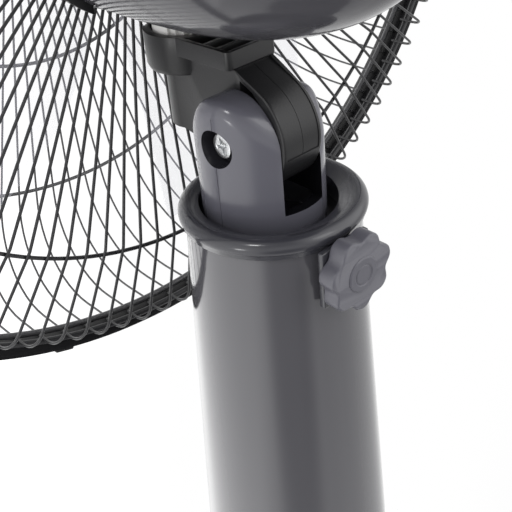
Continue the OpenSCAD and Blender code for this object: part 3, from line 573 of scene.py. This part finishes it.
class FAN_OT_collar(bpy.types.Operator):
    """Rounded collar with its clamp plate"""

    bl_idname = "fan.collar"
    bl_label = "Collar"

    def execute(self, context):
        s = sizes()
        zc, r = s.collar_height, s.column_radius
        rim = [(r + 0.25 * MM, zc), (r + 1.5 * MM, zc)]
        # Round shoulder from the lower edge over the top, then a fall to the hole.
        shoulder = 4.1 * MM
        for i in range(15):
            a = math.radians(-35 + i * 125 / 14)
            rim.append((r - 1.3 * MM + shoulder * math.cos(a), zc + 4.3 * MM + shoulder * math.sin(a)))
        fall = ((2.6, 8.25), (4.2, 7.6), (6.0, 6.7), (8.0, 5.7), (11.0, 4.2), (11.0, -4.0), (2.7, -4.0), (2.7, 4.2))
        rim += [(r - u * MM, zc + v * MM) for u, v in fall]
        rim.append((r + 0.25 * MM, zc + 4.2 * MM))
        ring = turned("collar_ring", rim, 160)
        # The hole lies off the pole's axis, which leaves a wider gap behind the pole.
        cut(ring, drum(29 * MM, 0.05, (0, POLE_Y + 2.5 * MM, zc), sides=160))
        rounded(ring, 0.4 * MM, 3, 50, 50)
        plate = block((-13 * MM, r + 1.5 * MM, zc - 24 * MM), (13 * MM, r + 4.5 * MM, zc + 1.6 * MM))
        cut(plate, drum(CLAMP_BORE, 0.03, (0, r + 3 * MM, zc + CLAMP_UP), (QUARTER, 0, 0), 48))
        rounded(plate, 0.7 * MM, 3)
        fitted(joined("collar_ring", [ring, plate]), "collar",
               finish=grained("collar_gloss", (0.030, 0.030, 0.037), 0.2, grain=260.0, depth=0.02, mottle=0.08,
                              coat=0.15, coat_rough=0.05))
        return {"FINISHED"}


class FAN_OT_clamp(bpy.types.Operator):
    """Lobed clamp knob"""

    bl_idname = "fan.clamp"
    bl_label = "Clamp knob"

    def execute(self, context):
        s = sizes()
        lo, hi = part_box("clamp_knob")
        back, face = lo[1], hi[1] - 0.8 * MM
        scallop = 2.6 * MM
        n = s.lobes * 16
        pts = []
        for i in range(n):
            a = 2 * math.pi * i / n
            w = math.cos(s.lobes * a)
            # Broad lobes with narrower scallops between them.
            r = s.knob_radius - scallop * (0.5 - 0.5 * w) ** 1.4
            pts.append((r * math.sin(a), r * math.cos(a), 0.0))
        depth = face - back
        obj = prism("clamp_knob_form", pts, depth)
        pick(obj, "FACE", lambda f: f.normal.z > 0.9)
        bpy.ops.mesh.inset(thickness=1.0 * MM, depth=0.0)
        bpy.ops.object.mode_set(mode="OBJECT")
        rounded(obj, 1.1 * MM, 3, 40)
        face_line = ((0, -0.4), (7.7, -0.4), (7.7, 0.2), (7.1, 0.7), (5.0, 0.75), (4.5, 0.35), (4.2, 0.35), (3.8, 0.6),
                     (0, 0.65))
        cap = turned("clamp_cap", [(u * MM, depth + v * MM) for u, v in face_line], 64)
        smoothed(cap, 30)
        obj = joined("clamp_knob_form", [obj, cap])
        laid(obj, (0, back, s.collar_height + CLAMP_UP), (-QUARTER, 0, 0))
        fitted(obj, "clamp_knob")
        return {"FINISHED"}


def rounded_meet(a, b, r):
    """Distance to the meeting of two solids whose common edge has a round of radius r."""
    return min(-r, max(a, b)) + math.hypot(max(a + r, 0.0), max(b + r, 0.0))


def neck_depth(x, y, z):
    """Signed distance from the neck's outer shape: a round stem under sloping, round-topped ears."""
    stem = math.hypot(x, y - POLE_Y) - POLE_R
    u, v = abs(y - PIVOT_Y), z - PIVOT_UP
    top = math.hypot(u, v) if v > u else (u + v) / math.sqrt(2)
    ear = EAR_R if x > 0 else NUT_EAR_R
    return max(rounded_meet(stem, top - ear, EAR_ROUND), NECK_FOOT_UP - z)


def neck_block():
    """A ball whose vertices are moved out along their rays to the neck's outer shape."""
    none()
    bpy.ops.mesh.primitive_uv_sphere_add(segments=192, ring_count=128, radius=1.0)
    obj = bpy.context.object
    heart = Vector((0, POLE_Y, 20 * MM))
    for v in obj.data.vertices:
        ray = v.co.normalized()
        near, far = 0.0, 0.08
        for _ in range(30):
            half = (near + far) / 2
            if neck_depth(*(heart + ray * half)) < 0:
                near = half
            else:
                far = half
        v.co = heart + ray * near
    return laid(obj, (0, 0, sizes().collar_height))


class FAN_OT_neck(bpy.types.Operator):
    """Forked neck and its pivot bolt"""

    bl_idname = "fan.neck"
    bl_label = "Neck"

    def execute(self, context):
        zc = sizes().collar_height
        pivot = zc + PIVOT_UP
        across = (0, QUARTER, 0)
        neck = neck_block()
        # Slot between the ears, bore of the stem, recess of the screw's head, bore of the bolt and seat of its nut.
        cut(neck, block((-SLOT_HALF, -0.08, zc + SLOT_UP), (SLOT_HALF, 0.08, zc + 0.1)))
        cut(neck, drum(POLE_BORE, 0.05, (0, POLE_Y, zc - 15.5 * MM), sides=96))
        cut(neck, drum(RECESS_R, 0.03, (33.5 * MM, PIVOT_Y, pivot), across, 96))
        cut(neck, drum(PIVOT_BORE, 0.08, (0, PIVOT_Y, pivot), across, 48))
        cut(neck, drum(6.5 * MM, 0.02, (-28.5 * MM, PIVOT_Y, pivot), across, 6))
        neck.name = "neck_form"
        rounded(neck, 0.45 * MM, 2, 40)
        # Mould lines of the stem: one through the screw, and two short ones behind, under the slot.
        for lo, hi in (((20, -2.12, -4), (30, -1.88, 50)), ((-10.52, 15, -4), (-10.28, 25, 8.6)),
                       ((-8.6, 15, 1.28), (2.6, 25, 1.52))):
            skin = drum(27 * MM, 0.07, (0, POLE_Y, zc + 0.024), sides=128)
            cut(skin, drum(POLE_R - 0.25 * MM, 0.09, (0, POLE_Y, zc + 0.024), sides=128))
            cut(skin, block([v * MM + (zc if i == 2 else 0) for i, v in enumerate(lo)],
                            [v * MM + (zc if i == 2 else 0) for i, v in enumerate(hi)]), "INTERSECT")
            cut(neck, skin)
        smoothed(neck, 40)
        low, high, out = zc - 38 * MM, zc - 7.5 * MM, 24.33 * MM
        spigot = turned("neck_spigot", [(POLE_BORE, low), (out, low), (out, high), (POLE_BORE, high)], 96)
        smoothed(spigot, 30)
        fitted(joined("neck_form", [neck, spigot]), "neck", finish=neck_plastic_with_painted_shade())
        fitted(softened("pivot_bolt", 0.4 * MM), "pivot_bolt")
        return {"FINISHED"}


def bed_side(r):
    """Side view of a line at a distance from the pivot, round the tongue and straight on under the tray."""
    start, end = math.radians(-13), math.radians(64.6)
    turns = [start + i * (end - start) / 40 for i in range(41)]
    pts = [(r * math.cos(t), r * math.sin(t)) for t in turns]
    run = 13.4 * MM
    pts.append((pts[-1][0] - run * math.sin(end), pts[-1][1] + run * math.cos(end)))
    return [(u, v, 0.0) for u, v in pts]


def on_tongue_edge(p):
    """Whether a point lies on one of the two round side edges of the tongue."""
    reach = math.hypot(p.y - PIVOT_Y, p.z - sizes().collar_height - PIVOT_UP)
    return abs(abs(p.x) - TONGUE_HALF) < 0.3 * MM and abs(reach - TONGUE_R) < 0.1 * MM


class FAN_OT_bracket(bpy.types.Operator):
    """Tilting bracket and nylon gear"""

    bl_idname = "fan.bracket"
    bl_label = "Tilt bracket"

    def execute(self, context):
        bracket = softened("tilt_bracket", 0.7 * MM, 3, bead=on_tongue_edge, bead_width=1.2 * MM)
        pivot = sizes().collar_height + PIVOT_UP
        # Shallow bed between two raised rims on the tongue's round back, and its mould line.
        for half, deep in ((8.4, 0.35), (0.12, 0.5)):
            tool = prism("bed_tool", bed_side(TONGUE_R - deep * MM) + bed_side(26 * MM)[::-1], 2 * half * MM)
            laid(tool, (-half * MM, PIVOT_Y, pivot), (QUARTER, 0, QUARTER))
            cut(bracket, tool)
        fitted(smoothed(bracket, 40), "tilt_bracket")
        fitted(softened("swing_gear", 0.3 * MM), "swing_gear")
        return {"FINISHED"}


# Head

COVER_EDGE = 56 * MM
COVER_SHOULDER = 49 * MM
COVER_REAR = -80 * MM
COVER_POWER = 2.55


def cover_point(t):
    """Radius and place along the axis on the cover's round back, from its shoulder at 0 to its tip at 1."""
    r = sizes().cover_radius * max(1.0 - t ** COVER_POWER, 0.0) ** (1 / COVER_POWER)
    return r, COVER_SHOULDER - t * (COVER_SHOULDER - COVER_REAR)


class FAN_OT_cover(bpy.types.Operator):
    """Motor covers"""

    bl_idname = "fan.cover"
    bl_label = "Motor covers"

    def execute(self, context):
        s = sizes()
        n = 48
        ts = [math.sin(math.pi / 2 * i / n) for i in range(n + 1)]
        edge = 0.5 * MM
        back = [cover_point(t) for t in ts]
        outer = [(s.cover_radius - edge, COVER_EDGE), (s.cover_radius, COVER_EDGE - edge)] + back
        inner = [(max(r - WALL, 0.0), min(a + WALL * t, COVER_EDGE)) for (r, a), t in zip(back, ts)]
        inner = [(r, a) for r, a in inner if r > MM]
        profile = outer + [(0.0, inner[-1][1])] + inner[::-1] + [(s.cover_radius - WALL, COVER_EDGE)]
        obj = turned("rear_cover_shell", profile, 160)
        # Hole and counterbore of the cover's screw, and the opening below for the swing drive.
        cut(obj, drum(2.6 * MM, 0.03, (0, 0, -0.070)))
        cut(obj, drum(5.05 * MM, 0.010, (0, 0, -0.08435)))
        on_axis(obj)
        zc = s.collar_height
        cut(obj, block((-10 * MM, -65 * MM, zc + 60 * MM), (10 * MM, -19 * MM, zc + 90 * MM)))
        fitted(smoothed(obj, 30), "rear_cover")
        fitted(softened("front_cover", 0.6 * MM), "front_cover")
        return {"FINISHED"}


def spun_copies(obj, count, start=0.0):
    """Copies one wire round local Z."""
    only(obj)
    obj.rotation_euler = (0, 0, start)
    bpy.ops.object.transform_apply(location=True, rotation=True, scale=True)
    into_edit()
    bpy.ops.mesh.select_all(action="SELECT")
    bpy.ops.mesh.spin(steps=count - 1, dupli=True, angle=2 * math.pi * (count - 1) / count,
                      center=(0, 0, 0), axis=(0, 0, 1))
    bpy.ops.mesh.select_all(action="SELECT")
    bpy.ops.mesh.normals_make_consistent(inside=False)
    bpy.ops.object.mode_set(mode="OBJECT")
    return obj


def wire_start(name, radius, at, tilt):
    """An eight-sided section at a point of the XZ plane, square to a direction in that plane."""
    none()
    bpy.ops.mesh.primitive_circle_add(vertices=8, radius=radius, fill_type="NGON")
    obj = bpy.context.object
    obj.name = name
    obj.data.name = name
    return laid(obj, (at[0], 0, at[1]), (0, tilt, 0))


def wire_on(step):
    """Draws the selected end of the wire straight on."""
    bpy.ops.mesh.extrude_region_move(TRANSFORM_OT_translate={"value": step})


# Guard: radii, and places along the fan's axis in front of the column's axis.
RIM_R = 226 * MM
RIM_A = 80.5 * MM
WIRE_R = RIM_R - 8.25 * MM
PLATE_R = 62 * MM
PLATE_FACES = (61.8 * MM, 64.2 * MM)
RING_T = 0.9 * MM
RIM_RING_T = 1.5 * MM
RING_GAP = 0.03 * MM
# Rear wires: slope to the kink at the middle ring, slope beyond it, then a bend to the rim.
SLOPE = math.radians(5.2)
KINK_R = 162 * MM
KINK = (KINK_R, 62.7 * MM - (KINK_R - PLATE_R) * math.tan(SLOPE))
OUT_SLOPE = math.radians(10)
LOOP_R = 212.5 * MM
BEND = 13 * MM
BEND_R = LOOP_R - BEND * (1 - math.sin(OUT_SLOPE))
REAR_RING = RIM_R * 0.73
# Front wires: slope, radius and centre of the bend, and the bend's inner end.
F_SLOPE = math.radians(2.9)
F_BEND = 45 * MM
F_LINE = 160 * MM - WIRE_R * math.tan(F_SLOPE)
F_C = (WIRE_R - F_BEND, F_LINE - F_BEND * math.tan((QUARTER - F_SLOPE) / 2))
F_IN = (F_C[0] + F_BEND * math.sin(F_SLOPE), F_C[1] + F_BEND * math.cos(F_SLOPE))
F_START = RIM_A + 5 * MM
F_RINGS = (RIM_R * 0.752, RIM_R * 0.4645)
HUB_RING_R = 41 * MM


def rear_at(r):
    """The rear wires slope back to a kink at their middle ring, and forward again from there."""
    return KINK[1] + (KINK[0] - r) * math.tan(SLOPE if r < KINK[0] else -OUT_SLOPE)


def front_at(r):
    """Place along the axis of the front wires' straight run."""
    return F_IN[1] + (F_IN[0] - r) * math.tan(F_SLOPE)


def wire_ring(name, r, a, t):
    """A ring of round wire."""
    pts = [(r + t * math.cos(math.radians(36 * i)), a + t * math.sin(math.radians(36 * i))) for i in range(10)]
    return smoothed(turned(name, pts, 180), 60)


class FAN_OT_rear_guard(bpy.types.Operator):
    """Rear half of the wire guard"""

    bl_idname = "fan.rear_guard"
    bl_label = "Rear guard"

    def execute(self, context):
        s = sizes()
        hub = PLATE_R + 0.05 * MM
        obj = wire_start("rear_guard_wire_form", s.rear_wire, (hub, rear_at(hub)), QUARTER + SLOPE)
        into_edit()
        bpy.ops.mesh.select_all(action="SELECT")
        bend_a = rear_at(BEND_R) + BEND * math.cos(OUT_SLOPE)
        wire_on((KINK[0] - hub, 0, KINK[1] - rear_at(hub)))
        wire_on((BEND_R - KINK[0], 0, rear_at(BEND_R) - KINK[1]))
        bpy.ops.mesh.spin(steps=14, angle=QUARTER - OUT_SLOPE, center=(LOOP_R - BEND, 0, bend_a), axis=(0, 1, 0))
        wire_on((0, 0, RIM_A - 1.2 * MM - bend_a))
        bpy.ops.object.mode_set(mode="OBJECT")
        spun_copies(obj, s.wires, math.radians(180.0 / s.wires))
        fitted(smoothed(on_axis(obj), 60), "rear_guard_wires")
        rise = (s.rear_wire + RING_T + RING_GAP) / math.cos(OUT_SLOPE)
        rings = [
            wire_ring("rear_ring", REAR_RING, rear_at(REAR_RING) + rise, RING_T),
            wire_ring("rear_ring", LOOP_R + s.rear_wire + RIM_RING_T + 0.05 * MM, RIM_A - 3 * MM, RIM_RING_T),
        ]
        fitted(on_axis(joined("rear_guard_ring_form", rings)), "rear_guard_rings")
        (low, high), bore, edge = PLATE_FACES, 38.2 * MM, 0.5 * MM
        plate = turned("guard_plate_form", [(bore, low), (PLATE_R - edge, low), (PLATE_R, low + edge),
                                            (PLATE_R, high - edge), (PLATE_R - edge, high), (bore, high)], 160)
        fitted(smoothed(on_axis(plate), 30), "rear_guard_rings",
               finish=grained("guard_plate_coat", (0.30, 0.30, 0.31), 0.35, grain=1200.0, depth=0.04))
        return {"FINISHED"}


class FAN_OT_front_guard(bpy.types.Operator):
    """Front half of the wire guard with its plain badge"""

    bl_idname = "fan.front_guard"
    bl_label = "Front guard"

    def execute(self, context):
        s = sizes()
        obj = wire_start("front_guard_wire_form", s.front_wire, (WIRE_R, F_START), 0.0)
        into_edit()
        bpy.ops.mesh.select_all(action="SELECT")
        wire_on((0, 0, F_C[1] - F_START))
        bpy.ops.mesh.spin(steps=12, angle=QUARTER - F_SLOPE, center=(F_C[0], 0, F_C[1]), axis=(0, 1, 0))
        end = HUB_RING_R + 0.2 * MM
        wire_on((end - F_IN[0], 0, front_at(end) - F_IN[1]))
        bpy.ops.object.mode_set(mode="OBJECT")
        spun_copies(obj, s.wires)
        fitted(smoothed(on_axis(obj), 60), "front_guard_wires")
        drop = (s.front_wire + RING_T + RING_GAP) / math.cos(F_SLOPE)
        hub_a, hub_half, hub_bore = front_at(HUB_RING_R), 1.2 * MM, 30 * MM
        hub_line = [(hub_bore, hub_a - hub_half), (HUB_RING_R, hub_a - hub_half),
                    (HUB_RING_R, hub_a + hub_half), (hub_bore, hub_a + hub_half)]
        rings = [wire_ring("front_ring", r, front_at(r) - drop, RING_T) for r in F_RINGS]
        rings += [
            wire_ring("front_ring", WIRE_R - s.front_wire - 1.55 * MM, RIM_A + 7.5 * MM, RIM_RING_T),
            smoothed(turned("front_ring", hub_line, 128)),
        ]
        fitted(on_axis(joined("front_guard_ring_form", rings)), "front_guard_rings")
        z = hub_a + 1.25 * MM
        face = ((0, 0), (39.4, 0), (40, 0.6), (39.6, 1.6), (36, 3.4), (33.5, 3.7), (32.8, 3.2), (32, 3.2), (31.2, 4.0),
                (20, 4.9), (0, 5.4))
        badge = turned("guard_badge_form", [(u * MM, z + v * MM) for u, v in face], 128)
        fitted(smoothed(on_axis(badge), 30), "guard_badge")
        return {"FINISHED"}


class FAN_OT_rim(bpy.types.Operator):
    """Rim band, clips and guard nut"""

    bl_idname = "fan.rim"
    bl_label = "Guard rim"

    def execute(self, context):
        profile = ((-9.6, -2.5), (-5.8, -2.5), (-5.2, -2.3), (-5.0, -1.8), (-5.0, 3.1), (-4.6, 3.5), (-1.4, 3.5),
                   (-0.4, 3.9), (0.0, 4.9), (-0.3, 8.0), (-0.3, 13.0), (0.0, 16.1), (-0.4, 17.1), (-1.4, 17.5),
                   (-3.0, 17.5), (-7.5, 10.5), (-7.5, 1.0), (-9.6, 1.0))
        band = turned("guard_band_form", [(RIM_R + u * MM, RIM_A + v * MM) for u, v in profile], 240)
        fitted(smoothed(on_axis(band), 40), "guard_band",
               finish=grained("band_black", (0.005, 0.005, 0.006), 0.45, grain=900.0, depth=0.06, mottle=0.15,
                              specular=0.12))
        fitted(softened("guard_clips", 0.8 * MM, 2), "guard_clips")
        fitted(softened("guard_nut", 0.6 * MM, 2), "guard_nut")
        return {"FINISHED"}


class FAN_OT_blade(bpy.types.Operator):
    """Clear blade with its hub and nut"""

    bl_idname = "fan.blade"
    bl_label = "Blade"

    def execute(self, context):
        root, tip = 30.5 * MM, 195 * MM
        leaf_wall, leaves, leaf_turn = 2.2 * MM, 5, math.radians(20)
        none()
        bpy.ops.mesh.primitive_grid_add(x_subdivisions=22, y_subdivisions=14, size=2.0)
        leaf = bpy.context.object
        # Along a leaf u runs from 0 at its root to 1 at its tip, and across it c runs from -1 to 1.
        # Then come its half width, its turn with the sweep, and its height with pitch and camber.
        for v in leaf.data.vertices:
            u, c = (v.co.x + 1) / 2, v.co.y
            r = root + (tip - root) * u
            half = 0.5 * (46 + 50 * math.sin(QUARTER * u ** 0.8) - 26 * u ** 6) * MM
            a = math.radians(16 * u * u) + c * half / (r * 0.8 + 22 * MM)
            h = (102 + c * (34 - 16 * u) * 0.5 + 3 * (1 - c * c)) * MM
            v.co = (r * math.cos(a), r * math.sin(a), h)
        only(leaf)
        mod = leaf.modifiers.new("Wall", "SOLIDIFY")
        mod.thickness = leaf_wall
        mod.offset = 0.0
        bpy.ops.object.modifier_apply(modifier=mod.name)
        rounded(leaf, 0.6 * MM, 2, 50)
        spun_copies(leaf, leaves, leaf_turn)
        b = 84 * MM
        hub_line = ((4.03, 10), (9, 10), (9, 32), (29, 32), (29, 0), (31.6, 0), (32, 0.4), (32, 32.4), (31.2, 34.6),
                    (29, 36), (4.03, 36))
        hub = turned("blade_hub", [(u * MM, b + v * MM) for u, v in hub_line], 96)
        smoothed(hub, 30)
        obj = joined("blade_form", [leaf, hub])
        fitted(smoothed(on_axis(obj), 40), "blade")
        fitted(softened("blade_nut", 0.8 * MM, 3), "blade_nut")
        return {"FINISHED"}


class FAN_OT_inner(bpy.types.Operator):
    """Finishes of the solids that keep their own shape"""

    bl_idname = "fan.inner"
    bl_label = "Inner pieces"

    def execute(self, context):
        for name, obj in NODES.items():
            mat = finish_for(SLOT[name])
            if not obj.material_slots:
                obj.data.materials.append(mat)
            for slot in obj.material_slots:
                slot.material = mat
        return {"FINISHED"}


def swell(tree, along, towards, low, high, amount):
    """A smooth rise of light where a direction turns towards a given one."""
    part = worked(tree, "ShaderNodeVectorMath", "DOT_PRODUCT", along, towards)
    rise = tree.nodes.new("ShaderNodeMapRange")
    rise.interpolation_type = "SMOOTHSTEP"
    rise.inputs["From Min"].default_value = low
    rise.inputs["From Max"].default_value = high
    rise.inputs["To Max"].default_value = amount
    tree.links.new(part.outputs["Value"], rise.inputs["Value"])
    return rise.outputs["Result"]


def studio_world():
    """A plain white room, brighter on its left and upper right, and dim overhead and low behind the fan."""
    world = bpy.data.worlds.new("studio_world")
    world.use_nodes = True
    tree = world.node_tree
    along = tree.nodes.new("ShaderNodeTexCoord").outputs["Generated"]
    level = 1.0
    for glow in GLOWS:
        level = worked(tree, "ShaderNodeMath", "ADD", level, swell(tree, along, *glow)).outputs["Value"]
    sky = tree.nodes["Background"]
    sky.inputs["Color"].default_value = (1, 1, 1, 1)
    tree.links.new(level, sky.inputs["Strength"])
    return world


class FAN_OT_stage(bpy.types.Operator):
    """Pale floor, soft light and the camera"""

    bl_idname = "fan.stage"
    bl_label = "Stage"

    def execute(self, context):
        none()
        bpy.ops.mesh.primitive_circle_add(vertices=128, radius=FLOOR_R, fill_type="NGON", location=(0, 0, -FLOOR_DROP))
        floor = bpy.context.object
        floor.name = "studio_floor"
        bpy.ops.object.transform_apply(location=True, rotation=True, scale=True)
        floor.data.materials.append(grained("studio_floor_paint", colours().floor, 0.6, grain=200.0, depth=0.02,
                                            mottle=0.01))
        context.scene.world = studio_world()
        for name, place, power, size in LAMPS:
            none()
            bpy.ops.object.light_add(type="AREA", location=place)
            lamp = context.object
            lamp.name = name
            lamp.data.energy = power
            lamp.data.size = size
            aim = LAMP_AIM - Vector(place)
            lamp.rotation_euler = aim.to_track_quat("-Z", "Y").to_euler()
        none()
        bpy.ops.object.camera_add()
        cam = context.object
        cam.name = "photo_camera"
        m = Matrix((CAMERA_RIGHT, CAMERA_UP, CAMERA_RIGHT.cross(CAMERA_UP))).transposed().to_4x4()
        x, y, up = CAMERA_AT
        m.translation = (x, y, sizes().collar_height + up)
        cam.matrix_world = m
        cam.data.sensor_fit = "HORIZONTAL"
        cam.data.sensor_width = SENSOR
        cam.data.lens = FOCAL * SENSOR
        cam.data.clip_start = 0.005
        context.scene.camera = cam
        context.scene.view_settings.view_transform = "Standard"
        return {"FINISHED"}


STEPS = ("inner", "base", "column", "collar", "clamp", "neck", "bracket", "cover", "rear_guard", "front_guard",
         "rim", "blade", "stage")


class FAN_PT_panel(bpy.types.Panel):
    """The fan's pieces, in the order in which they are made"""

    bl_idname = "FAN_PT_panel"
    bl_label = "Fan"
    bl_space_type = "VIEW_3D"
    bl_region_type = "UI"
    bl_category = "Fan"

    def draw(self, context):
        for group in (context.scene.fan_sizes, context.scene.fan_colours):
            box = self.layout.box()
            for name in group.__annotations__:
                box.prop(group, name)
        for step in STEPS:
            self.layout.operator("fan." + step)


CLASSES = (FanSizes, FanColours, FAN_OT_inner, FAN_OT_base, FAN_OT_column, FAN_OT_collar, FAN_OT_clamp, FAN_OT_neck,
           FAN_OT_bracket, FAN_OT_cover, FAN_OT_rear_guard, FAN_OT_front_guard, FAN_OT_rim, FAN_OT_blade,
           FAN_OT_stage, FAN_PT_panel)


def register():
    for cls in CLASSES:
        bpy.utils.register_class(cls)
    bpy.types.Scene.fan_sizes = bpy.props.PointerProperty(type=FanSizes)
    bpy.types.Scene.fan_colours = bpy.props.PointerProperty(type=FanColours)


def unregister():
    del bpy.types.Scene.fan_colours
    del bpy.types.Scene.fan_sizes
    for cls in reversed(CLASSES):
        bpy.utils.unregister_class(cls)


def main():
    register()
    for step in STEPS:
        getattr(bpy.ops.fan, step)()
    none()


if __name__ == "__main__":
    main()
